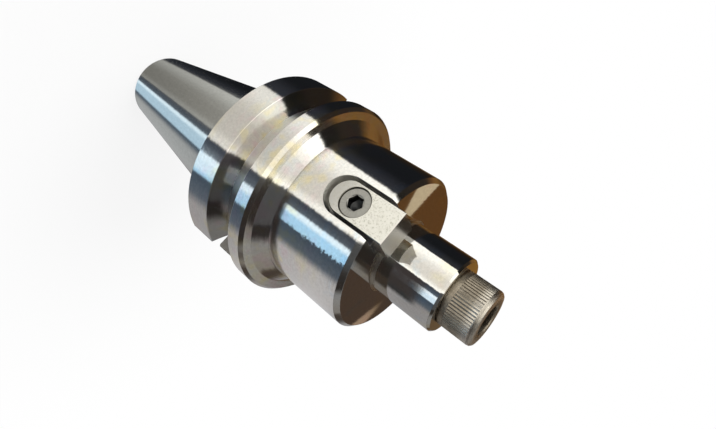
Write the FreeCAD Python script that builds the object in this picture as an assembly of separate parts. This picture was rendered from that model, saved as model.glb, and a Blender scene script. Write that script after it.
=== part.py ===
import FreeCAD, Part
import math
import os

# Shell mill arbor with a 7/24 taper shank of size 40 and a 22 mm pilot.
# Millimetres. The axis is Z and the nose points up. The origin is the centre of the gauge circle,
# and the arbor stands on the small end of its taper. The drive keys are on the X axis.

# Taper shank
GAUGE_DIAMETER = 44.45
TAPER_RATE = 7.0 / 24.0
TAPER_LENGTH = 65.4
SMALL_END_CHAMFER = 0.8
NECK_RELIEF = 0.7

# Flange with its gripper groove
FLANGE_DIAMETER = 63.0
FLANGE_REAR = 2.0
FLANGE_THICKNESS = 25.0
FLANGE_REAR_CHAMFER = 0.5
FLANGE_FRONT_CHAMFER = 1.0
GROOVE_CENTRE = 16.6
GROOVE_WIDTH = 10.0
GROOVE_ANGLE = 60.0
GROOVE_DEPTH = 5.0

# Spindle drive slots in the flange, square to the keys
DRIVE_SLOT_WIDTH = 16.1
DRIVE_SLOT_FLOOR = 22.6
DRIVE_SLOT_REACH = 20.0

# Body ahead of the flange
BODY_DIAMETER = 48.0
BODY_FRONT = 56.0
BODY_CHAMFER = 1.2
SHOULDER_CONE_DIAMETER = 56.0
SHOULDER_CONE_LENGTH = 2.6

# Pilot that centres the cutter
PILOT_DIAMETER = 22.0
PILOT_LENGTH = 19.0
PILOT_CHAMFER = 0.6
UNDERCUT_WIDTH = 1.0
UNDERCUT_DEPTH = 0.4
UNDERCUT_FACE_REACH = 0.5
UNDERCUT_FACE_DEPTH = 0.2

# Pull stud hole in the small end, cored to the thread's minor diameter
STUD_CORE_DIAMETER = 13.835
STUD_HOLE_DEPTH = 43.0
STUD_BORE_DIAMETER = 17.0
STUD_BORE_DEPTH = 9.0
STUD_BORE_CHAMFER = 0.5

# Clamp screw hole in the nose, cored to the thread's minor diameter
CLAMP_CORE_DIAMETER = 8.5
CLAMP_HOLE_EXTRA = 4.0
CLAMP_HOLE_CHAMFER = 0.8
DRILL_TIP_ANGLE = 118.0

# Drive keys
KEY_WIDTH = 10.0
KEY_HEIGHT = 9.0
KEY_LENGTH = 20.0
KEY_PROJECTION = 3.9
KEY_BELOW_SURFACE = 1.0
KEY_EDGE_CHAMFER = 0.2
KEY_SCREW_SETBACK = 8.6
KEY_HOLE_DIAMETER = 5.5
KEY_COUNTERBORE_CLEARANCE = 0.12

# Key seats: a close fit at the bottom and a wider mouth above
SEAT_SIDE_CLEARANCE = 0.02
SEAT_END_CLEARANCE = 0.5
MOUTH_CLEARANCE = 0.85
MOUTH_DEPTH = 5.5

# Key screws, M5 socket caps
KEY_SCREW_HEAD_DIAMETER = 8.5
KEY_SCREW_HEAD_HEIGHT = 5.0
KEY_SCREW_HEAD_CHAMFER = 0.25
KEY_SCREW_LENGTH = 10.0
KEY_SCREW_SOCKET = 4.0
KEY_SCREW_SOCKET_DEPTH = 2.6
KEY_SCREW_SOCKET_CHAMFER = 0.15
KEY_SCREW_BELOW_KEY = 0.4
KEY_SCREW_CORE_DIAMETER = 4.2
KEY_SCREW_TIP_ROOM = 0.8

# Clamp screw, an M10 socket cap with a knurled head
CLAMP_HEAD_DIAMETER = 16.0
CLAMP_HEAD_HEIGHT = 10.0
CLAMP_HEAD_ROUNDING = 1.2
CLAMP_SEAT_INSET = 0.6
CLAMP_SEAT_HEIGHT = 0.35
CLAMP_SCREW_LENGTH = 30.0
CLAMP_SOCKET = 8.0
CLAMP_SOCKET_DEPTH = 5.2
CLAMP_SOCKET_CHAMFER = 0.3
KNURL_COUNT = 60
KNURL_DEPTH = 0.15
KNURL_START = 1.6
KNURL_END_MARGIN = 1.4

# Shared by all screws
THREAD_CLEARANCE = 0.02
SHANK_TIP_CHAMFER = 0.5
RIM_BEVELS = 3

# Room that a cutting tool takes beyond the surface it opens
CUT_MARGIN = 5.0

Z_AXIS = FreeCAD.Vector(0, 0, 1)
ORIGIN = FreeCAD.Vector(0, 0, 0)

gauge_radius = GAUGE_DIAMETER / 2
small_end_radius = gauge_radius - TAPER_LENGTH * TAPER_RATE / 2
flange_radius = FLANGE_DIAMETER / 2
flange_front = FLANGE_REAR + FLANGE_THICKNESS
body_radius = BODY_DIAMETER / 2
pilot_radius = PILOT_DIAMETER / 2
pilot_end = BODY_FRONT + PILOT_LENGTH
key_top = body_radius - KEY_BELOW_SURFACE
key_floor = key_top - KEY_HEIGHT
key_round_centre = BODY_FRONT + KEY_PROJECTION - KEY_LENGTH + KEY_WIDTH / 2
key_screw_height = BODY_FRONT - KEY_SCREW_SETBACK
key_screw_seat = key_top - KEY_SCREW_BELOW_KEY - KEY_SCREW_HEAD_HEIGHT


def turned(points):
    """Solid of revolution about Z from (radius, height) corners."""
    corners = [FreeCAD.Vector(radius, 0, height) for radius, height in points]
    outline = Part.makePolygon(corners + corners[:1])
    return Part.Face(outline).revolve(ORIGIN, Z_AXIS, 360)


def cylinder(radius, low, high):
    """Cylinder about Z between two heights."""
    return Part.makeCylinder(radius, high - low, FreeCAD.Vector(0, 0, low), Z_AXIS)


def drill_point(radius):
    """Length of the cone that a drill leaves at the bottom of a hole."""
    return radius / math.tan(math.radians(DRILL_TIP_ANGLE / 2))


def quarter_turned(shape, turns):
    """Copy of a shape turned about Z by whole quarter turns."""
    copy = shape.copy()
    copy.rotate(ORIGIN, Z_AXIS, 90 * turns)
    return copy


def radial_slot(width, floor, reach_out, round_height, open_height):
    """Slot cutter along +X: one round end at round_height, square at open_height."""
    low = min(round_height, open_height)
    length = abs(open_height - round_height)
    depth = reach_out - floor
    straight = Part.makeBox(depth, width, length, FreeCAD.Vector(floor, -width / 2, low))
    centre = FreeCAD.Vector(floor, 0, round_height)
    end = Part.makeCylinder(width / 2, depth, centre, FreeCAD.Vector(1, 0, 0))
    return straight.fuse(end).removeSplitter()


def hexagon_prism(across_flats, low, high):
    """Six-sided prism about Z."""
    corner_radius = across_flats / math.sqrt(3)
    angles = [math.radians(60 * step) for step in range(7)]
    corners = [FreeCAD.Vector(corner_radius * math.cos(a), corner_radius * math.sin(a), low) for a in angles]
    return Part.Face(Part.makePolygon(corners)).extrude(FreeCAD.Vector(0, 0, high - low))


# Arbor body

def body_blank():
    """Turned outside of the arbor, from the small end to the pilot's nose."""
    small_end = -TAPER_LENGTH
    chamfer_rise = SMALL_END_CHAMFER
    radius_above_chamfer = small_end_radius + chamfer_rise * TAPER_RATE / 2
    neck_radius = gauge_radius - NECK_RELIEF
    groove_radius = flange_radius - GROOVE_DEPTH
    flank = GROOVE_DEPTH * math.tan(math.radians(GROOVE_ANGLE / 2))
    groove_low = GROOVE_CENTRE - GROOVE_WIDTH / 2
    groove_high = GROOVE_CENTRE + GROOVE_WIDTH / 2
    undercut_radius = pilot_radius - UNDERCUT_DEPTH
    face_edge_radius = pilot_radius + UNDERCUT_FACE_REACH
    undercut_low = BODY_FRONT - UNDERCUT_FACE_DEPTH
    taper = [
        (0, small_end),
        (radius_above_chamfer - SMALL_END_CHAMFER, small_end),
        (radius_above_chamfer, small_end + chamfer_rise),
        (gauge_radius, 0),
        (neck_radius, NECK_RELIEF),
        (neck_radius, FLANGE_REAR),
    ]
    flange = [
        (flange_radius - FLANGE_REAR_CHAMFER, FLANGE_REAR),
        (flange_radius, FLANGE_REAR + FLANGE_REAR_CHAMFER),
        (flange_radius, groove_low),
        (groove_radius, groove_low + flank),
        (groove_radius, groove_high - flank),
        (flange_radius, groove_high),
        (flange_radius, flange_front - FLANGE_FRONT_CHAMFER),
        (flange_radius - FLANGE_FRONT_CHAMFER, flange_front),
    ]
    nose = [
        (SHOULDER_CONE_DIAMETER / 2, flange_front),
        (body_radius, flange_front + SHOULDER_CONE_LENGTH),
        (body_radius, BODY_FRONT - BODY_CHAMFER),
        (body_radius - BODY_CHAMFER, BODY_FRONT),
        (face_edge_radius, BODY_FRONT),
        (face_edge_radius - UNDERCUT_FACE_DEPTH, undercut_low),
        (undercut_radius, undercut_low),
        (undercut_radius, BODY_FRONT + UNDERCUT_WIDTH),
        (pilot_radius, BODY_FRONT + UNDERCUT_WIDTH),
        (pilot_radius, pilot_end - PILOT_CHAMFER),
        (pilot_radius - PILOT_CHAMFER, pilot_end),
        (0, pilot_end),
    ]
    return turned(taper + flange + nose)


def stud_hole():
    """Counterbored blind hole for the pull stud, open at the small end."""
    mouth = -TAPER_LENGTH
    core_radius = STUD_CORE_DIAMETER / 2
    bore_radius = STUD_BORE_DIAMETER / 2
    bottom = mouth + STUD_HOLE_DEPTH
    return turned([
        (0, mouth - CUT_MARGIN),
        (bore_radius + STUD_BORE_CHAMFER, mouth - CUT_MARGIN),
        (bore_radius + STUD_BORE_CHAMFER, mouth),
        (bore_radius, mouth + STUD_BORE_CHAMFER),
        (bore_radius, mouth + STUD_BORE_DEPTH),
        (core_radius, mouth + STUD_BORE_DEPTH),
        (core_radius, bottom),
        (0, bottom + drill_point(core_radius)),
    ])


def clamp_hole():
    """Blind hole for the clamp screw, open at the nose."""
    core_radius = CLAMP_CORE_DIAMETER / 2
    bottom = pilot_end - CLAMP_SCREW_LENGTH - CLAMP_HOLE_EXTRA
    return turned([
        (0, bottom - drill_point(core_radius)),
        (core_radius, bottom),
        (core_radius, pilot_end - CLAMP_HOLE_CHAMFER),
        (core_radius + CLAMP_HOLE_CHAMFER, pilot_end),
        (core_radius + CLAMP_HOLE_CHAMFER, pilot_end + CUT_MARGIN),
        (0, pilot_end + CUT_MARGIN),
    ])


def drive_slot():
    """Cutter for one spindle drive slot: through the rear ring, ending short of the front one."""
    reach_out = flange_radius + CUT_MARGIN
    round_height = DRIVE_SLOT_REACH - DRIVE_SLOT_WIDTH / 2
    return radial_slot(DRIVE_SLOT_WIDTH, DRIVE_SLOT_FLOOR, reach_out, round_height, FLANGE_REAR - CUT_MARGIN)


def key_seat():
    """Cutter for one key seat with its wider mouth, open at the body's front face."""
    reach_out = body_radius + CUT_MARGIN
    open_height = BODY_FRONT + CUT_MARGIN
    round_height = key_round_centre - SEAT_END_CLEARANCE
    seat_width = KEY_WIDTH + 2 * SEAT_SIDE_CLEARANCE
    mouth_width = KEY_WIDTH + 2 * MOUTH_CLEARANCE
    seat = radial_slot(seat_width, key_floor, reach_out, round_height, open_height)
    mouth = radial_slot(mouth_width, body_radius - MOUTH_DEPTH, reach_out, round_height, open_height)
    return seat.fuse(mouth)


def key_screw_hole():
    """Cutter for the blind hole of one key screw, along +X from the seat's floor."""
    core_radius = KEY_SCREW_CORE_DIAMETER / 2
    bottom = key_screw_seat - KEY_SCREW_LENGTH - KEY_SCREW_TIP_ROOM
    start = FreeCAD.Vector(bottom, 0, key_screw_height)
    return Part.makeCylinder(core_radius, key_floor + CUT_MARGIN - bottom, start, FreeCAD.Vector(1, 0, 0))


def arbor_body():
    """One piece of steel: taper, flange, body and pilot, with every hole and slot."""
    body = body_blank().cut(stud_hole()).cut(clamp_hole())
    for turns in (1, 3):
        body = body.cut(quarter_turned(drive_slot(), turns))
    for turns in (0, 2):
        body = body.cut(quarter_turned(key_seat(), turns))
        body = body.cut(quarter_turned(key_screw_hole(), turns))
    return body


# Drive keys

def drive_key():
    """Key on the +X side: round at the rear, square at the front, counterbored for its screw."""
    front = BODY_FRONT + KEY_PROJECTION
    key = radial_slot(KEY_WIDTH, key_floor, key_top, key_round_centre, front)
    top_edges = [edge for edge in key.Edges if edge.BoundBox.XMin > key_top - KEY_EDGE_CHAMFER / 2]
    key = key.makeChamfer(KEY_EDGE_CHAMFER, top_edges)
    outward = FreeCAD.Vector(1, 0, 0)
    through = Part.makeCylinder(
        KEY_HOLE_DIAMETER / 2, KEY_HEIGHT + 2 * CUT_MARGIN,
        FreeCAD.Vector(key_floor - CUT_MARGIN, 0, key_screw_height), outward)
    counterbore = Part.makeCylinder(
        KEY_SCREW_HEAD_DIAMETER / 2 + KEY_COUNTERBORE_CLEARANCE, key_top - key_screw_seat + CUT_MARGIN,
        FreeCAD.Vector(key_screw_seat, 0, key_screw_height), outward)
    return key.cut(through).cut(counterbore)


# Screws

def knurl_cutter(head_radius, low, high):
    """Ring that leaves straight V teeth on a cylinder of head_radius between two heights."""
    points = []
    for step in range(2 * KNURL_COUNT):
        radius = head_radius if step % 2 == 0 else head_radius - KNURL_DEPTH
        angle = math.pi * step / KNURL_COUNT
        points.append(FreeCAD.Vector(radius * math.cos(angle), radius * math.sin(angle), low))
    toothed = Part.Face(Part.makePolygon(points + points[:1])).extrude(FreeCAD.Vector(0, 0, high - low))
    return cylinder(head_radius + CUT_MARGIN, low, high).cut(toothed)


def shank_points(core_diameter, length):
    """Outline of a plain shank at the thread's minor diameter, from its tip to the head's underside."""
    shank_radius = core_diameter / 2 - THREAD_CLEARANCE
    tip = min(SHANK_TIP_CHAMFER, shank_radius / 2)
    return [
        (0, -length),
        (shank_radius - tip, -length),
        (shank_radius, -length + tip),
        (shank_radius, 0),
    ]


def rounded_rim(radius, height, rounding):
    """Corners of a rim rounded in a few bevels, from a cylinder of radius to its end at height."""
    angles = [math.radians(90 * step / RIM_BEVELS) for step in range(RIM_BEVELS + 1)]
    centre = radius - rounding
    low = height - rounding
    return [(centre + rounding * math.cos(a), low + rounding * math.sin(a)) for a in angles]


def hexagon_socket(socket, depth, chamfer, head_height):
    """Cutter for a hexagon socket with a drilled bottom and a bevelled mouth."""
    corner_radius = socket / math.sqrt(3)
    floor = head_height - depth
    hexagon = hexagon_prism(socket, floor, head_height + CUT_MARGIN)
    pointed = turned([
        (0, floor - drill_point(socket / 2)),
        (socket / 2, floor),
        (socket / 2, floor + chamfer),
        (0, floor + chamfer),
    ])
    mouth = turned([
        (0, head_height - chamfer),
        (corner_radius - chamfer / 2, head_height - chamfer),
        (corner_radius + chamfer / 2, head_height),
        (corner_radius + chamfer / 2, head_height + CUT_MARGIN),
        (0, head_height + CUT_MARGIN),
    ])
    return hexagon.fuse(pointed).fuse(mouth)


def key_screw():
    """Screw of the +X key, along the key's counterbore."""
    head_radius = KEY_SCREW_HEAD_DIAMETER / 2
    blank = turned(shank_points(KEY_SCREW_CORE_DIAMETER, KEY_SCREW_LENGTH) + [
        (head_radius, 0),
        (head_radius, KEY_SCREW_HEAD_HEIGHT - KEY_SCREW_HEAD_CHAMFER),
        (head_radius - KEY_SCREW_HEAD_CHAMFER, KEY_SCREW_HEAD_HEIGHT),
        (0, KEY_SCREW_HEAD_HEIGHT),
    ])
    screw = blank.cut(hexagon_socket(
        KEY_SCREW_SOCKET, KEY_SCREW_SOCKET_DEPTH, KEY_SCREW_SOCKET_CHAMFER, KEY_SCREW_HEAD_HEIGHT))
    screw.rotate(ORIGIN, FreeCAD.Vector(0, 1, 0), 90)
    screw.translate(FreeCAD.Vector(key_screw_seat, 0, key_screw_height))
    return screw


def clamp_screw():
    """Screw that holds the cutter: its head has a small seat face, knurled sides and a rounded end."""
    head_radius = CLAMP_HEAD_DIAMETER / 2
    seat_radius = head_radius - CLAMP_SEAT_INSET
    blank = turned(shank_points(CLAMP_CORE_DIAMETER, CLAMP_SCREW_LENGTH) + [
        (seat_radius, 0),
        (seat_radius, CLAMP_SEAT_HEIGHT),
        (head_radius, CLAMP_SEAT_HEIGHT),
    ] + rounded_rim(head_radius, CLAMP_HEAD_HEIGHT, CLAMP_HEAD_ROUNDING) + [
        (0, CLAMP_HEAD_HEIGHT),
    ])
    screw = blank.cut(hexagon_socket(
        CLAMP_SOCKET, CLAMP_SOCKET_DEPTH, CLAMP_SOCKET_CHAMFER, CLAMP_HEAD_HEIGHT))
    knurl_end = CLAMP_HEAD_HEIGHT - KNURL_END_MARGIN
    screw = screw.cut(knurl_cutter(head_radius, KNURL_START, knurl_end))
    screw.translate(FreeCAD.Vector(0, 0, pilot_end))
    return screw


# Nodes

def export(name, shape):
    """Write one node, after a check that it is one closed solid."""
    solids = shape.Solids
    if len(solids) != 1 or not solids[0].isValid():
        raise ValueError(name + " is not one valid solid")
    solids[0].exportStep("parts/" + name + ".step")
    print(name, "volume", round(solids[0].Volume, 2), "faces", len(solids[0].Faces))


os.makedirs("parts", exist_ok=True)
export("arbor_body", arbor_body())
export("clamp_screw", clamp_screw())
for number, turns in ((1, 0), (2, 2)):
    export("drive_key_" + str(number), quarter_turned(drive_key(), turns))
    export("key_screw_" + str(number), quarter_turned(key_screw(), turns))
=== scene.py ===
import math
import bpy
from mathutils import Euler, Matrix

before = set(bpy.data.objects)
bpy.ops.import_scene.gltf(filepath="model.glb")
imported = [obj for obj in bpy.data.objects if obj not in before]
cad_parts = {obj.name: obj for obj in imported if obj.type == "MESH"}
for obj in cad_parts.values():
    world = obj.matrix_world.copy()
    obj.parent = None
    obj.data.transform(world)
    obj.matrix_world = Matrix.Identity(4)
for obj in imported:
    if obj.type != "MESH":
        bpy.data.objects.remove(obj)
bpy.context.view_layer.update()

# Objects, lamps and the camera are placed in metres. The steels count in millimetres from the
# centre of the gauge circle, with z along the arbor towards its nose. Colours are linear.

FLOOR_Z = -0.0654
FLOOR_HALF = 4.0
SHELL_SIZE = 6.0
SHELL_CENTRE = (0.0, 0.0, 0.01)

# Heights, radii and widths of the arbor where its steel changes
CONE_REAR = 29.6
SHOULDER = 56.0
SLOT_REAR, SLOT_FRONT, SLOT_FLOOR, SLOT_HALF_WIDTH = 1.9, 20.4, 22.3, 8.07
SEAT_END_CENTRE, SEAT_END_RADIUS, SEAT_FLOOR = 44.4, 5.88, 13.5
UNDERCUT_REAR, UNDERCUT_FRONT, UNDERCUT_RADIUS = 55.7, 57.05, 11.55
STUD_HOLE_FRONT, STUD_HOLE_RADIUS = -18.0, 8.9
THREAD_FRONT, THREAD_RADIUS, THREAD_PITCH = -22.4, 6.99, 2.0
GROOVE_REAR, GROOVE_FRONT, GROOVE_RADIUS = 14.5, 18.7, 27.2
REAR_FLANK_START, REAR_FLANK_RADIUS = 11.6, 31.3
KEY_SCREW_AXIS = 47.4

# Colours of the arbor's steel
PALE_STEEL = (0.77, 0.755, 0.72)
STRAW_TINT = (0.83, 0.78, 0.60)
ROSE_TINT = (0.82, 0.70, 0.69)
BLUE_TINT = (0.67, 0.75, 0.80)
YELLOW_PATCH = (0.90, 0.80, 0.47)
RED_PATCH = (0.80, 0.64, 0.67)
TAPER_STEEL = (0.70, 0.71, 0.68)
# Milled steel of the slots, darkened further with painted shade
SLOT_STEEL_AND_SHADE = (0.30, 0.29, 0.28)
SEAT_STEEL_REAR = (0.82, 0.81, 0.76)
SEAT_STEEL_FRONT = (0.50, 0.50, 0.50)
# Painted shade on one side wall of each key's seat
SEAT_SIDE_PAINTED_SHADE = (0.10, 0.10, 0.11)
UNDERCUT_STEEL = (0.80, 0.77, 0.71)
HOLE_STEEL = (0.36, 0.35, 0.33)
# Colours of the keys and of the two kinds of screw
BLASTED_REAR, BLASTED_FRONT = (0.60, 0.59, 0.56), (0.98, 0.97, 0.90)
BLASTED_GRAIN, BLASTED_CLOUD = (0.56, 0.55, 0.46), (0.66, 0.64, 0.56)
GROUND_KEY = (0.76, 0.74, 0.70)
SATIN_STEEL, SATIN_WORN = (0.41, 0.405, 0.375), (0.26, 0.25, 0.23)
# Painted shade for the key screws' sockets
KEY_SOCKET_PAINTED_SHADE = (0.085, 0.088, 0.09)
BRONZE_DARK, BRONZE_PALE = (0.37, 0.32, 0.25), (0.55, 0.49, 0.395)
# A painted highlight for the clamp screw's crown, and painted shade for its socket
BRONZE_CROWN_HIGHLIGHT, CLAMP_SOCKET_PAINTED_SHADE = (0.80, 0.74, 0.64), (0.10, 0.085, 0.07)

# How steeply the marks on the arbor's steel tilt its surface, along the arbor or round it
RINGS_ALONG, FINE_ALONG, RINGS_ROUND = 0.038, 0.055, 0.022
CHATTER_ROUND, CHATTER_ROUND_BODY, MOTTLE_ROUND = 0.015, 0.020, 0.075
THREAD_ALONG, CUTTER_WAVE, CUTTER_FEED = 0.75, 0.12, 0.05
# How wide the edges look rounded and how deep the bumps are, in metres
EDGE_RADIUS, KEY_BUMP, SCREW_BUMP = 0.00016, 0.00004, 0.00005

WHITE = (1.0, 1.0, 1.0, 1.0)
FLOOR_PAINT = (0.88, 0.88, 0.88, 1.0)
WORLD_LEVEL = 0.7

# The bearings of the studio cards are measured from the upright line x = -FAN_X, y = -FAN_Y, as
# a share of the shell's size. It lies opposite the place of the photo's camera.
FAN_X, FAN_Y = 0.803, 0.162
# Bearings of the cards' edges and heights of their bands, in degrees
WHITE_RIGHT, WHITE_LEFT = -23.3, 19.3
FLAG_LEFT = 50.0
BOX_RIGHT, BOX_LEFT, BOX_LEFT_STEEP = 27.0, 38.5, 43.0
GREY_RIGHT, GREY_RIGHT_STEEP = 49.0, 44.0
EDGE_SOFT = 1.6
BELT_LOW, BELT_HIGH = -22.4, -16.2
REAR_RIM_LOW, REAR_RIM_HIGH, REAR_RIM_SHIFT = -48.0, -42.6, 5.5
FRONT_RIM_LOW, FRONT_RIM_HIGH, FRONT_RIM_LEVEL = -41.0, -37.4, 0.84
# Where a direction lies on the level plane that the two wedge lamps are drawn on: millimetres
# for a slope of 1, the point for straight up, which is the place of the photo's camera seen
# from above, and small shifts because the shell isn't endless
PLAN_SCALE, PLAN_X, PLAN_Y = 50.0, 126.9, 25.6
SHELL_SIDE, SHELL_RISE = 0.002, 0.0077


class Net:
    """Short calls for building a node tree. Most give back the socket of their result."""

    def __init__(self, tree):
        self.tree = tree
        tree.nodes.clear()

    def node(self, kind, inputs=None, **settings):
        """A new node. inputs holds values or sockets by the input's name or number."""
        made = self.tree.nodes.new(kind)
        for name, value in settings.items():
            setattr(made, name, value)
        for name, value in (inputs or {}).items():
            if isinstance(value, bpy.types.NodeSocket):
                self.tree.links.new(value, made.inputs[name])
            else:
                made.inputs[name].default_value = value
        return made

    def math(self, operation, *values):
        return self.node("ShaderNodeMath", dict(enumerate(values)), operation=operation).outputs[0]

    def add(self, first, *others):
        for other in others:
            first = self.math("ADD", first, other)
        return first

    def multiply(self, first, *others):
        for other in others:
            first = self.math("MULTIPLY", first, other)
        return first

    def vary(self, value, factor, base=1.0):
        """base with factor times the value added."""
        return self.math("MULTIPLY_ADD", value, factor, base)

    def invert(self, value):
        return self.math("SUBTRACT", 1.0, value)

    def degrees(self, radians):
        return self.multiply(radians, 180.0 / math.pi)

    def reach(self, a, b):
        """How far the point (a, b) is from (0, 0)."""
        return self.math("SQRT", self.add(self.multiply(a, a), self.multiply(b, b)))

    def polar(self, a, b):
        """How far the point (a, b) is from (0, 0), and its direction in radians."""
        return self.reach(a, b), self.math("ARCTAN2", b, a)

    def vector(self, operation, *values):
        made = self.node("ShaderNodeVectorMath", dict(enumerate(values)), operation=operation)
        return made.outputs["Value" if operation == "LENGTH" else "Vector"]

    def scale(self, vector, factor):
        inputs = {0: vector, "Scale": factor}
        return self.node("ShaderNodeVectorMath", inputs, operation="SCALE").outputs["Vector"]

    def split(self, vector):
        return tuple(self.node("ShaderNodeSeparateXYZ", {0: vector}).outputs)

    def join(self, x, y, z):
        return self.node("ShaderNodeCombineXYZ", {0: x, 1: y, 2: z}).outputs[0]

    def rise(self, value, low, high, start=0.0, end=1.0):
        """start up to low, end from high on, and a smooth change between them.

        Where low is above high, it is read downwards: start above low and end below high.
        """
        inputs = dict(enumerate((value, low, high, start, end)))
        return self.node("ShaderNodeMapRange", inputs, interpolation_type="SMOOTHSTEP").outputs[0]

    def between(self, value, low, high, soft):
        """1 between low and high with soft borders, else 0."""
        into = self.rise(value, low - soft / 2, low + soft / 2)
        out = self.rise(value, high - soft / 2, high + soft / 2, 1.0, 0.0)
        return self.multiply(into, out)

    def blend(self, amount, a, b):
        """Colour a where amount is 0 and b where it is 1."""
        a, b = (c if isinstance(c, bpy.types.NodeSocket) else (*c, 1.0) for c in (a, b))
        return self.node("ShaderNodeMix", {0: amount, 6: a, 7: b}, data_type="RGBA").outputs[2]

    def fade(self, value, low, high, a, b):
        """Colour a up to low and b from high on, as rise reads them."""
        return self.blend(self.rise(value, low, high), a, b)

    def pick(self, amount, a, b):
        """Number a where amount is 0 and b where it is 1."""
        return self.node("ShaderNodeMix", {0: amount, 2: a, 3: b}, data_type="FLOAT").outputs[0]

    def noise(self, vector, scale=1.0, detail=3.0, rough=0.6):
        """Noise from about -1 to 1."""
        inputs = {"Vector": vector, "Scale": scale, "Detail": detail, "Roughness": rough}
        return self.vary(self.node("ShaderNodeTexNoise", inputs).outputs[0], 2.0, -1.0)

    def stretched(self, a, a_scale, b, b_scale, seed=0.0):
        """A place for noise that runs along two values of the surface."""
        return self.join(self.multiply(a, a_scale), self.multiply(b, b_scale), seed)

    def bump(self, height, distance):
        """The normal of a surface with fine bumps of the given depth in metres."""
        inputs = {"Strength": 0.35, "Distance": distance, "Height": height}
        return self.node("ShaderNodeBump", inputs).outputs[0]

    def mirror_rays(self, rays):
        """1 for the rays that mirrors and glass send out, else 0."""
        return self.math("MAXIMUM", rays["Is Glossy Ray"], rays["Is Transmission Ray"])

    def surface(self, shader):
        """The shader as the material's finished surface."""
        self.node("ShaderNodeOutputMaterial", {"Surface": shader.outputs[0]})

    def metal(self, colour, roughness, normal, **others):
        """The finished metal. others holds more of the shader's inputs by name."""
        inputs = {"Metallic": 1.0, "Base Color": colour, "Roughness": roughness, "Normal": normal}
        self.surface(self.node("ShaderNodeBsdfPrincipled", {**inputs, **others}))


def new_material(name):
    made = bpy.data.materials.new(name)
    made.use_nodes = True
    return made, Net(made.node_tree)


def dress(material, *names):
    """The material in every slot of the named CAD nodes."""
    for name in names:
        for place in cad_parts[name].material_slots:
            place.material = material


def millimetres(net):
    """Object coordinates in millimetres."""
    return net.scale(net.node("ShaderNodeTexCoord").outputs["Object"], 1000.0)


def facing(net):
    """The three parts of the surface's true normal."""
    return net.split(net.node("ShaderNodeNewGeometry").outputs["Normal"])


# Ground and polished steel of the arbor

class ArborPoint:
    """A point of the arbor's surface, its grinding marks and its zones, each 0 or 1."""

    def __init__(self, net):
        self.place = millimetres(net)
        self.x, self.y, self.z = x, y, z = net.split(self.place)
        self.radius, self.turn = net.polar(x, y)
        self.step = net.add(z, self.radius)
        wide_x, wide_y = net.math("ABSOLUTE", x), net.math("ABSOLUTE", y)

        # Fine rings round the axis, each only part of the way round
        rings_place = net.stretched(self.step, 7.0, self.turn, 1.6)
        fine_place = net.stretched(self.step, 26.0, self.turn, 3.0, seed=4.0)
        chatter_place = net.stretched(self.step, 1.6, self.turn, 4.5, seed=9.0)
        self.rings = net.noise(rings_place, rough=0.7)
        self.fine = net.noise(fine_place, detail=2.0)
        self.chatter = net.noise(chatter_place, rough=0.65)

        self.taper = net.rise(z, -0.3, 0.0, 1.0, 0.0)
        self.on_body = net.between(z, CONE_REAR, SHOULDER - 1.0, 0.2)
        self.pilot = net.rise(z, SHOULDER - 0.1, SHOULDER)
        self.facing_up = net.rise(facing(net)[2], 0.93, 0.97)
        self.shoulder = net.multiply(self.facing_up, net.rise(z, 50.0, 50.1))
        self.slot = net.multiply(
            net.between(z, SLOT_REAR, SLOT_FRONT, 0.05),
            net.math("LESS_THAN", wide_x, SLOT_HALF_WIDTH),
            net.math("GREATER_THAN", wide_y, SLOT_FLOOR))
        behind_seat = net.math("MINIMUM", net.math("SUBTRACT", z, SEAT_END_CENTRE), 0.0)
        self.seat = net.multiply(
            net.math("LESS_THAN", net.reach(y, behind_seat), SEAT_END_RADIUS),
            net.math("GREATER_THAN", wide_x, SEAT_FLOOR),
            net.rise(z, SHOULDER - 0.02, SHOULDER + 0.02, 1.0, 0.0))
        self.milled = net.math("MAXIMUM", self.slot, self.seat)
        self.undercut = self.inside(
            net, UNDERCUT_RADIUS, net.between(z, UNDERCUT_REAR, UNDERCUT_FRONT, 0.02))
        self.groove = self.inside(
            net, GROOVE_RADIUS, net.between(z, GROOVE_REAR, GROOVE_FRONT, 0.2))
        self.rear_flank = self.inside(
            net, REAR_FLANK_RADIUS, net.between(z, REAR_FLANK_START, GROOVE_REAR, 0.1))
        self.stud_hole = self.inside(
            net, STUD_HOLE_RADIUS,
            net.rise(z, STUD_HOLE_FRONT - 2.0, STUD_HOLE_FRONT, 1.0, 0.0))
        self.thread = self.inside(
            net, THREAD_RADIUS, net.rise(z, THREAD_FRONT - 0.2, THREAD_FRONT, 1.0, 0.0))

    def inside(self, net, radius, band):
        """The part of a band of heights that lies nearer to the axis than the radius."""
        return net.multiply(net.math("LESS_THAN", self.radius, radius), band)


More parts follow.
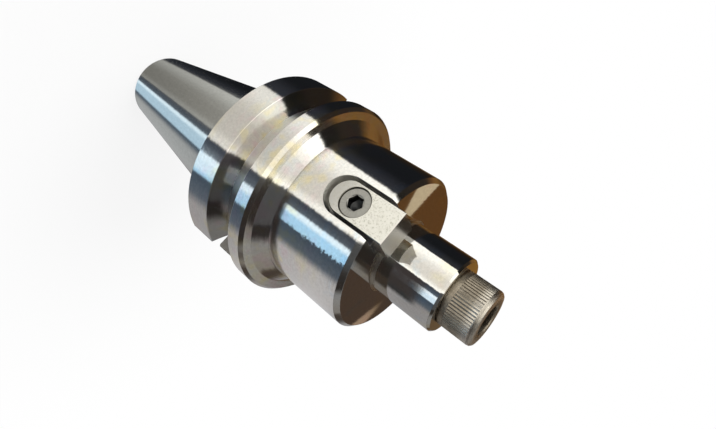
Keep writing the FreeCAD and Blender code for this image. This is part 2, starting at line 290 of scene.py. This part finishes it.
def arbor_tilts(net, at):
    """How far marks tilt the surface along the arbor and round it."""
    ground = net.invert(at.milled)
    along = net.add(net.multiply(at.rings, RINGS_ALONG), net.multiply(at.fine, FINE_ALONG))
    along = net.multiply(
        along, ground, net.pick(at.pilot, 1.0, 0.12), net.pick(at.shoulder, 1.0, 0.02))

    # The edge of the strip that faces the blue softbox is mottled
    mottle = net.multiply(
        net.noise(net.stretched(at.step, 1.1, at.turn, 24.0, seed=5.0), rough=0.65),
        net.between(at.turn, 0.56, 0.76, 0.08), net.between(at.z, 33.0, 55.0, 4.0),
        MOTTLE_ROUND)
    chatter = net.multiply(
        at.chatter, net.pick(at.on_body, CHATTER_ROUND, CHATTER_ROUND_BODY))
    around = net.add(net.multiply(at.rings, RINGS_ROUND), chatter, mottle)
    around = net.multiply(around, ground, net.pick(at.shoulder, 1.0, 0.08))

    # Thread flanks in the pull stud hole
    turns = net.add(
        net.multiply(at.z, 1.0 / THREAD_PITCH), net.multiply(at.turn, 0.5 / math.pi))
    second_half = net.math("GREATER_THAN", net.math("FRACT", turns), 0.5)
    flank = net.multiply(net.vary(second_half, 2 * THREAD_ALONG, -THREAD_ALONG), at.thread)

    # Cutter marks on milled walls
    wave = net.multiply(net.noise(at.place, scale=2.2, detail=4.0, rough=0.7), CUTTER_WAVE)
    feed_marks = net.multiply(net.math("SINE", net.multiply(at.step, 6.0)), CUTTER_FEED)
    cutter = net.multiply(net.add(wave, feed_marks), at.milled)
    return net.add(along, flank, cutter), around


def arbor_colour(net, at):
    """Pale steel with faint straw, rose and blue heat tints, darker milled walls, and painted
    shade.
    """
    first_place = net.stretched(at.step, 0.10, at.turn, 1.5, seed=2.0)
    second_place = net.vector("ADD", first_place, (5.0, 3.0, 7.0))
    first, second = net.noise(first_place), net.noise(second_place, scale=1.6)
    colour = net.fade(first, 0.0, 0.5, PALE_STEEL, STRAW_TINT)
    colour = net.blend(net.rise(second, 0.05, 0.55, 0.0, 0.8), colour, ROSE_TINT)
    colour = net.blend(net.rise(second, -0.1, -0.5, 0.0, 0.8), colour, BLUE_TINT)

    patch_place = net.vector("ADD", at.place, (2.0, 7.0, 1.0))
    patch = net.multiply(
        net.noise(patch_place, scale=0.24, detail=1.2, rough=0.5),
        net.between(at.z, 10.0, 38.0, 4.0))
    colour = net.blend(net.rise(patch, 0.04, 0.42, 0.0, 0.50), colour, YELLOW_PATCH)
    colour = net.blend(net.rise(patch, -0.04, -0.42, 0.0, 0.50), colour, RED_PATCH)
    colour = net.blend(at.taper, colour, TAPER_STEEL)

    cloud = net.vary(net.noise(at.place, scale=1.3, rough=0.7), 0.18)
    shade = net.add(net.multiply(at.rings, 0.06), net.multiply(at.fine, 0.05), cloud)
    colour = net.scale(colour, shade)

    # The seats are darker towards the front, and painted shade darkens one side wall of each key's
    # seat
    shaded_side = net.rise(net.multiply(at.y, net.math("SIGN", at.x)), 3.0, 5.2)
    seat = net.fade(at.z, 41.0, 47.0, SEAT_STEEL_REAR, SEAT_STEEL_FRONT)
    seat = net.blend(shaded_side, seat, SEAT_SIDE_PAINTED_SHADE)
    # The slots are dark milled steel with painted shade
    colour = net.blend(at.slot, colour, SLOT_STEEL_AND_SHADE)
    colour = net.blend(at.seat, colour, seat)
    # Painted shade darkens the groove's floor and, more, its rear flank
    colour = net.scale(colour, net.pick(at.groove, 1.0, 0.78))
    colour = net.scale(colour, net.pick(at.rear_flank, 1.0, 0.68))
    colour = net.blend(at.undercut, colour, UNDERCUT_STEEL)
    return net.blend(at.stud_hole, colour, HOLE_STEEL)


def arbor_roughness(net, at):
    """Each zone's own roughness, where the later one counts, changed a little by the chatter."""
    roughness = 0.11
    for zone, value in (
            (at.taper, 0.16), (at.pilot, 0.045), (at.facing_up, 0.19), (at.shoulder, 0.02),
            (at.groove, 0.38), (at.undercut, 0.34), (at.milled, 0.42)):
        roughness = net.pick(zone, roughness, value)
    return net.multiply(roughness, net.vary(at.chatter, 0.12))


def arbor_steel():
    material, net = new_material("ground_steel")
    at = ArborPoint(net)
    eased = net.node("ShaderNodeBevel", {"Radius": EDGE_RADIUS}, samples=4).outputs[0]
    around = net.vector("NORMALIZE", net.join(net.multiply(at.y, -1.0), at.x, 0.0))
    lengthwise = net.vector("NORMALIZE", net.vector("CROSS_PRODUCT", around, eased))
    along_tilt, around_tilt = arbor_tilts(net, at)
    tilt = net.vector("ADD", net.scale(lengthwise, along_tilt), net.scale(around, around_tilt))
    marked = net.vector("NORMALIZE", net.vector("ADD", eased, tilt))
    net.metal(arbor_colour(net, at), arbor_roughness(net, at), marked,
              Anisotropic=0.9, Tangent=lengthwise)
    return material


# Keys: fine-blasted on top, ground on the sides, ends and underside

def key_steel():
    material, net = new_material("key_steel")
    place = millimetres(net)
    top = net.rise(net.math("ABSOLUTE", facing(net)[0]), 0.94, 0.98)
    grain = net.noise(place, scale=1.9, rough=0.75)
    coarse = net.noise(
        net.vector("ADD", place, (3.0, 5.0, 1.0)), scale=0.6, detail=2.0, rough=0.5)
    blasted = net.fade(net.split(place)[2], 40.0, 52.0, BLASTED_REAR, BLASTED_FRONT)
    blasted = net.blend(net.rise(grain, -0.04, 0.36, 0.0, 0.74), blasted, BLASTED_GRAIN)
    blasted = net.blend(net.rise(coarse, 0.0, 0.8, 0.0, 0.3), blasted, BLASTED_CLOUD)
    stroke = net.noise(net.vector("MULTIPLY", place, (0.5, 9.0, 9.0)), detail=2.0)
    ground = net.scale(GROUND_KEY, net.vary(stroke, 0.10))
    height = net.multiply(net.pick(top, stroke, grain), net.pick(top, 0.12, 1.0))
    roughness = net.vary(grain, 0.03, net.pick(top, 0.20, 0.40))
    net.metal(net.blend(top, ground, blasted), roughness, net.bump(height, KEY_BUMP))
    return material


# Satin steel of the key screws, faced round their own axes, with painted shade in their sockets

def key_screw_steel():
    material, net = new_material("key_screw_steel")
    place = millimetres(net)
    x, y, z = net.split(place)
    from_axis, turn = net.polar(y, net.math("SUBTRACT", z, KEY_SCREW_AXIS))
    grain = net.noise(place, scale=2.6, rough=0.7)
    rays = net.noise(net.stretched(turn, 9.0, from_axis, 0.5))
    # Painted shade darkens the hex socket
    socket = net.multiply(
        net.rise(net.math("ABSOLUTE", x), 22.55, 21.4), net.rise(from_axis, 2.75, 2.6))
    colour = net.blend(net.rise(grain, 0.1, 0.6, 0.0, 0.45), SATIN_STEEL, SATIN_WORN)
    colour = net.scale(colour, net.vary(rays, 0.25))
    colour = net.blend(socket, colour, KEY_SOCKET_PAINTED_SHADE)
    net.metal(colour, net.vary(grain, 0.05, 0.34), net.bump(grain, KEY_BUMP))
    return material


# Bronze-grey steel of the clamp screw

def screw_steel():
    material, net = new_material("screw_steel")
    place = millimetres(net)
    x, y, z = net.split(place)
    radius, turn = net.polar(x, y)
    cloud = net.noise(place, scale=0.35)
    streak = net.noise(net.stretched(turn, 62.0, z, 0.14), detail=2.0)
    # The upper part of the head, made lighter by a painted highlight, and the socket in it,
    # darkened with painted shade
    lit_crown = net.multiply(net.rise(z, 80.6, 83.0), net.rise(radius, 5.2, 6.4))
    socket = net.multiply(net.rise(z, 84.75, 83.4), net.rise(radius, 4.9, 4.75))
    colour = net.fade(cloud, -0.4, 0.5, BRONZE_DARK, BRONZE_PALE)
    colour = net.blend(lit_crown, colour, BRONZE_CROWN_HIGHLIGHT)
    colour = net.scale(colour, net.vary(streak, 0.42))
    colour = net.blend(socket, colour, CLAMP_SOCKET_PAINTED_SHADE)
    roughness = net.vary(cloud, 0.05, net.pick(lit_crown, 0.45, 0.36))
    grain = net.noise(place, scale=6.0, rough=0.7)
    net.metal(colour, roughness, net.bump(grain, SCREW_BUMP))
    return material


dress(arbor_steel(), "arbor_body")
dress(screw_steel(), "clamp_screw")
dress(key_steel(), "drive_key_1", "drive_key_2")
dress(key_screw_steel(), "key_screw_1", "key_screw_2")


# Floor: pale for the light, white to the camera, and clear to the metal, which sees the cards

def floor_material():
    material, net = new_material("pale_floor")
    rays = net.node("ShaderNodeLightPath").outputs
    paint = net.node("ShaderNodeBsdfDiffuse", {"Color": FLOOR_PAINT})
    white = net.node("ShaderNodeEmission", {"Color": WHITE, "Strength": 1.0})
    clear = net.node("ShaderNodeBsdfTransparent")
    flat = net.vector(
        "MULTIPLY", net.node("ShaderNodeTexCoord").outputs["Object"], (1.0, 1.0, 0.0))
    share = net.rise(net.vector("LENGTH", flat), 0.05, 0.20, 0.82, 1.0)
    whiteness = net.multiply(rays["Is Camera Ray"], share)
    seen = net.node(
        "ShaderNodeMixShader", {0: whiteness, 1: paint.outputs[0], 2: white.outputs[0]})
    net.surface(net.node("ShaderNodeMixShader", {
        0: net.mirror_rays(rays), 1: seen.outputs[0], 2: clear.outputs[0]}))
    return material


def placed(name, data, location=(0.0, 0.0, 0.0)):
    """A new object in the scene."""
    made = bpy.data.objects.new(name, data)
    made.location = location
    bpy.context.scene.collection.objects.link(made)
    return made


def sheet(name, points, faces, material, location=(0.0, 0.0, 0.0)):
    """A new object from points and faces."""
    mesh = bpy.data.meshes.new(name)
    mesh.from_pydata(points, [], faces)
    mesh.materials.append(material)
    return placed(name, mesh, location)


floor_corners = [(x * FLOOR_HALF, y * FLOOR_HALF, FLOOR_Z)
                 for x, y in ((-1, -1), (1, -1), (1, 1), (-1, 1))]
floor = sheet("floor", floor_corners, [(0, 1, 2, 3)], floor_material())


# Studio cards: a shell painted with white cards, black flags and softboxes, which only the
# metal's reflections see. A card's place is its bearing, in degrees from the +X side, and its
# height in degrees above the horizon. The bearings fan out from a line behind the object, so
# each card's edge runs along the arbor.

class ShellPoint:
    """A point of the shell, and the bands of heights that it lies in."""

    def __init__(self, net):
        place = net.node("ShaderNodeTexCoord").outputs["Object"]
        self.x, self.y, self.z = net.split(net.vector("NORMALIZE", place))
        self.away, angle = net.polar(net.add(self.x, FAN_X), net.add(self.y, FAN_Y))
        self.height = net.degrees(net.math("ARCSINE", self.z))
        self.upper = net.rise(self.height, -4.0, 8.0)
        self.lower = net.invert(self.upper)
        self.steep = net.rise(self.height, -46.0, -54.0)
        self.belt = net.between(self.height, BELT_LOW, BELT_HIGH, 0.8)
        self.near_level = net.rise(self.height, -29.0, -27.0, 1.0, 1.15)
        self.bearing = net.multiply(net.degrees(angle), net.pick(self.steep, 1.0, 1.17))
        box_left = net.pick(self.steep, BOX_LEFT, BOX_LEFT_STEEP)
        self.after_box = net.rise(net.math("SUBTRACT", self.bearing, box_left), -0.8, 0.8)


def right_side(net, at):
    """A black flag on the right and a brown wall at the back."""
    low = net.fade(at.bearing, -40.0, -24.0, (0.0105, 0.0118, 0.0145), (0.034, 0.037, 0.047))
    low = net.fade(at.bearing, -56.0, -70.0, low, (0.018, 0.013, 0.009))
    low = net.fade(at.bearing, -70.0, -92.0, low, (0.130, 0.062, 0.020))
    high = net.fade(at.bearing, -56.0, -72.0, (0.030, 0.023, 0.018), (0.21, 0.108, 0.034))
    high = net.fade(at.height, 40.0, 46.0, high, (0.016, 0.015, 0.013))
    return net.blend(net.multiply(at.upper, net.rise(at.bearing, -18.0, -26.0)), low, high)


def white_card(net, at, light):
    """A white card in front, dimmer low down, just above the horizon and at the top."""
    level = net.add(
        net.rise(at.height, -72.0, -44.0, 0.20, 0.74), net.rise(at.height, -44.0, -24.0, 0.0, 0.30))
    level = net.multiply(level, net.pick(net.between(at.height, 12.0, 30.0, 8.0), 1.0, 0.40))
    for low, high, change in (
            (30.0, 36.0, 1.34), (64.0, 80.0, 0.70), (43.0, 50.0, 0.87), (58.0, 66.0, 1.13)):
        level = net.multiply(level, net.rise(at.height, low, high, 1.0, change))
    middle = net.multiply(
        net.rise(at.bearing, -18.0, -1.0), net.rise(at.bearing, 11.0, 19.0, 1.0, 0.0))
    white = net.scale(net.blend(middle, (1.30, 1.29, 1.23), (0.89, 0.86, 0.80)), level)
    return net.blend(net.between(at.bearing, WHITE_RIGHT, WHITE_LEFT, EDGE_SOFT), light, white)


def dark_flags(net, at, light):
    """Dark flags on both sides of the blue softbox."""
    low = net.fade(at.bearing, 19.5, 27.0, (0.060, 0.072, 0.095), (0.110, 0.135, 0.170))
    low = net.blend(at.belt, low, (0.056, 0.047, 0.046))
    high = net.fade(at.bearing, 20.0, 32.0, (0.085, 0.080, 0.072), (0.034, 0.029, 0.026))
    high = net.fade(at.height, 46.0, 56.0, high, (0.085, 0.087, 0.090))
    flag = net.blend(at.upper, low, high)
    light = net.blend(net.between(at.bearing, WHITE_LEFT, FLAG_LEFT, EDGE_SOFT), light, flag)
    left = net.fade(at.bearing, 40.0, 50.0, (0.070, 0.098, 0.135), (0.105, 0.132, 0.170))
    left = net.blend(at.belt, left, (0.050, 0.043, 0.042))
    return net.blend(net.multiply(at.after_box, at.lower), light, left)


def blue_softbox(net, at, light):
    """A blue softbox, paler along its right edge, and more widely so for the rear rim."""
    rear_rim = net.between(at.height, REAR_RIM_LOW, REAR_RIM_HIGH, 1.5)
    front_rim = net.between(at.height, FRONT_RIM_LOW, FRONT_RIM_HIGH, 1.2)
    into_blue = net.math("SUBTRACT", at.bearing, net.multiply(rear_rim, REAR_RIM_SHIFT))
    blue = net.blend(at.steep, (0.50, 0.84, 1.14), (0.55, 0.75, 0.92))
    blue = net.fade(into_blue, 29.5, 32.5, (0.99, 1.20, 1.36), blue)
    blue = net.blend(net.rise(at.height, -21.0, -17.0, 0.0, 0.6), blue, (0.97, 1.04, 1.10))
    level = net.multiply(at.near_level, net.pick(front_rim, 1.0, FRONT_RIM_LEVEL))
    in_box = net.multiply(
        net.rise(at.bearing, BOX_RIGHT - 0.8, BOX_RIGHT + 0.8), net.invert(at.after_box),
        net.rise(at.height, -14.2, -12.2, 1.0, 0.0), net.invert(at.belt))
    return net.blend(in_box, light, net.scale(blue, level))


def grey_wall(net, at, light):
    """A grey wall on the left below the horizon, dark in the belt near the softbox."""
    belt = net.multiply(at.belt, net.rise(at.bearing, 58.0, 68.0, 1.0, 0.0))
    level = net.multiply(
        net.rise(at.height, -25.0, -18.0, 1.0, 0.55), net.rise(at.height, -36.8, -34.8, 0.72, 1.0),
        net.rise(at.height, -50.0, -47.5, 1.18, 1.0), at.near_level, net.pick(belt, 1.0, 0.12))
    grey = net.scale(net.blend(at.steep, (0.51, 0.50, 0.51), (0.55, 0.565, 0.575)), level)
    right_edge = net.pick(at.steep, GREY_RIGHT, GREY_RIGHT_STEEP)
    from_edge = net.math("SUBTRACT", at.bearing, right_edge)
    return net.blend(net.multiply(net.rise(from_edge, 0.0, 9.0), at.lower), light, grey)


def upper_left(net, at, light):
    """Above the horizon: dark on the left, grey at the side, brown at the back."""
    high = net.fade(at.bearing, 57.0, 66.0, (0.034, 0.030, 0.028), (0.27, 0.265, 0.26))
    patch = net.multiply(net.rise(at.bearing, 66.0, 76.0), net.rise(at.height, 13.0, 16.5))
    low = net.blend(patch, (0.062, 0.050, 0.042), (0.25, 0.235, 0.22))
    left = net.fade(at.height, 27.0, 22.0, high, low)
    left = net.fade(at.bearing, 100.0, 116.0, left, (0.12, 0.078, 0.042))
    light = net.blend(net.multiply(at.upper, net.rise(at.bearing, 48.0, 52.0)), light, left)
    back = net.multiply(at.upper, net.rise(at.bearing, -95.0, -105.0))
    return net.blend(back, light, (0.16, 0.085, 0.032))


def ceiling(net, at, light):
    """A brown ceiling behind the object, darker in its middle band, grey high on the left."""
    right = net.rise(at.y, -0.14, -0.26)
    low = net.blend(right, (0.155, 0.100, 0.050), (0.270, 0.135, 0.030))
    middle = net.blend(right, (0.070, 0.047, 0.034), (0.120, 0.055, 0.019))
    high = net.fade(at.y, -0.30, -0.24, (0.22, 0.115, 0.036), (0.05, 0.043, 0.040))
    high = net.fade(at.y, -0.12, -0.02, high, (0.34, 0.34, 0.33))
    brown = net.fade(at.height, 18.5, 12.0, middle, low)
    brown = net.fade(at.height, 25.5, 29.5, brown, high)
    return net.blend(net.multiply(net.rise(at.away, 0.62, 0.34), at.upper), light, brown)


def wedge(net, across, along, low_edge, high_edge, soft):
    """1 between two straight edges, each given by a point (across, along) and its slope."""
    inside = 1.0
    for (point_across, point_along, slope), way in ((low_edge, 1.0), (high_edge, -1.0)):
        line = net.vary(along, slope, point_across - point_along * slope)
        past = net.multiply(net.math("SUBTRACT", across, line), way)
        inside = net.multiply(inside, net.rise(past, -soft, soft))
    return inside


def wedge_lamps(net, at, light):
    """Two wedge-shaped lamps under the ceiling, drawn on a level plane above the shoulder."""
    level = net.math("MAXIMUM", net.math("SUBTRACT", at.z, SHELL_RISE), 0.05)
    side_x, side_y = net.math("SUBTRACT", at.x, SHELL_SIDE), net.add(at.y, SHELL_SIDE)
    plan_x = net.vary(net.math("DIVIDE", side_x, level), PLAN_SCALE, PLAN_X)
    plan_y = net.vary(net.math("DIVIDE", side_y, level), PLAN_SCALE, PLAN_Y)
    right = net.multiply(
        wedge(net, plan_x, plan_y, (11.0, -8.0, 0.117), (15.8, -7.5, -0.545), 0.4),
        net.rise(plan_y, -3.0, -5.0), net.rise(plan_y, -30.0, -26.0))
    light = net.blend(right, light, (0.57, 0.46, 0.30))
    left = net.multiply(
        wedge(net, plan_x, plan_y, (-13.9, 12.0, 0.12), (-12.7, 12.0, 0.62), 0.9),
        net.rise(plan_y, 10.0, 19.0), net.rise(plan_y, 28.0, 26.0))
    return net.blend(left, light, (0.36, 0.26, 0.18))


def card_material():
    """All the cards, each painted over the ones before it."""
    material, net = new_material("studio_cards")
    at = ShellPoint(net)
    light = right_side(net, at)
    for card in (
            white_card, dark_flags, blue_softbox, grey_wall, upper_left, ceiling, wedge_lamps):
        light = card(net, at, light)
    net.surface(net.node("ShaderNodeEmission", {"Color": light, "Strength": 1.0}))
    material.cycles.emission_sampling = "NONE"
    return material


def ball(size, rows=24, columns=48):
    """Points and faces of a ball."""
    points = [(0, 0, size)]
    for row in range(1, rows):
        tip = math.pi * row / rows
        for column in range(columns):
            swing = 2 * math.pi * column / columns
            wide = size * math.sin(tip)
            points.append((wide * math.cos(swing), wide * math.sin(swing), size * math.cos(tip)))
    points.append((0, 0, -size))
    last = len(points) - 1
    sides = [(c, (c + 1) % columns) for c in range(columns)]
    faces = [(0, 1 + c, 1 + d) for c, d in sides]
    for row in range(rows - 2):
        a, b = 1 + row * columns, 1 + (row + 1) * columns
        faces += [(a + c, b + c, b + d, a + d) for c, d in sides]
    faces += [(last, last - columns + d, last - columns + c) for c, d in sides]
    return points, faces


cards = sheet("studio_cards", *ball(SHELL_SIZE), card_material(), SHELL_CENTRE)
for hidden_from in ("camera", "diffuse", "transmission", "volume_scatter", "shadow"):
    setattr(cards, "visible_" + hidden_from, False)


# World: white to the camera and to mirrors, plain level for the rest

world = bpy.data.worlds.new("studio")
bpy.context.scene.world = world
world.use_nodes = True
net = Net(world.node_tree)
world_rays = net.node("ShaderNodeLightPath").outputs
shown = net.math("MAXIMUM", world_rays["Is Camera Ray"], net.mirror_rays(world_rays))
sky = net.node(
    "ShaderNodeBackground", {"Color": WHITE, "Strength": net.pick(shown, WORLD_LEVEL, 1.0)})
net.node("ShaderNodeOutputWorld", {"Surface": sky.outputs[0]})
world.cycles.sampling_method = "NONE"

lamp_data = bpy.data.lights.new("key_light", "AREA")
lamp_data.shape = "DISK"
lamp_data.size = 0.9
lamp_data.energy = 10.0
lamp = placed("key_light", lamp_data, (0.5, -0.6, 1.3))
lamp.rotation_mode = "QUATERNION"
lamp.rotation_quaternion = lamp.location.to_track_quat("Z", "Y")
lamp.visible_glossy = False
lamp.visible_camera = False


# Camera, fitted to the photo's outlines. The small vertical shift is the photo's crop.

camera_data = bpy.data.cameras.new("camera")
camera_data.sensor_width = 36.0
camera_data.lens = 24.823
camera_data.shift_y = -0.0552
camera_data.clip_start = 0.005
camera_data.clip_end = 50.0
camera = placed("camera", camera_data, (0.126863, 0.025580, 0.105996))
camera_angles = (-43.0543, -46.5675, -110.7779)
camera.rotation_euler = Euler([math.radians(angle) for angle in camera_angles], "XYZ")
bpy.context.scene.camera = camera
bpy.context.scene.view_settings.view_transform = "Standard"
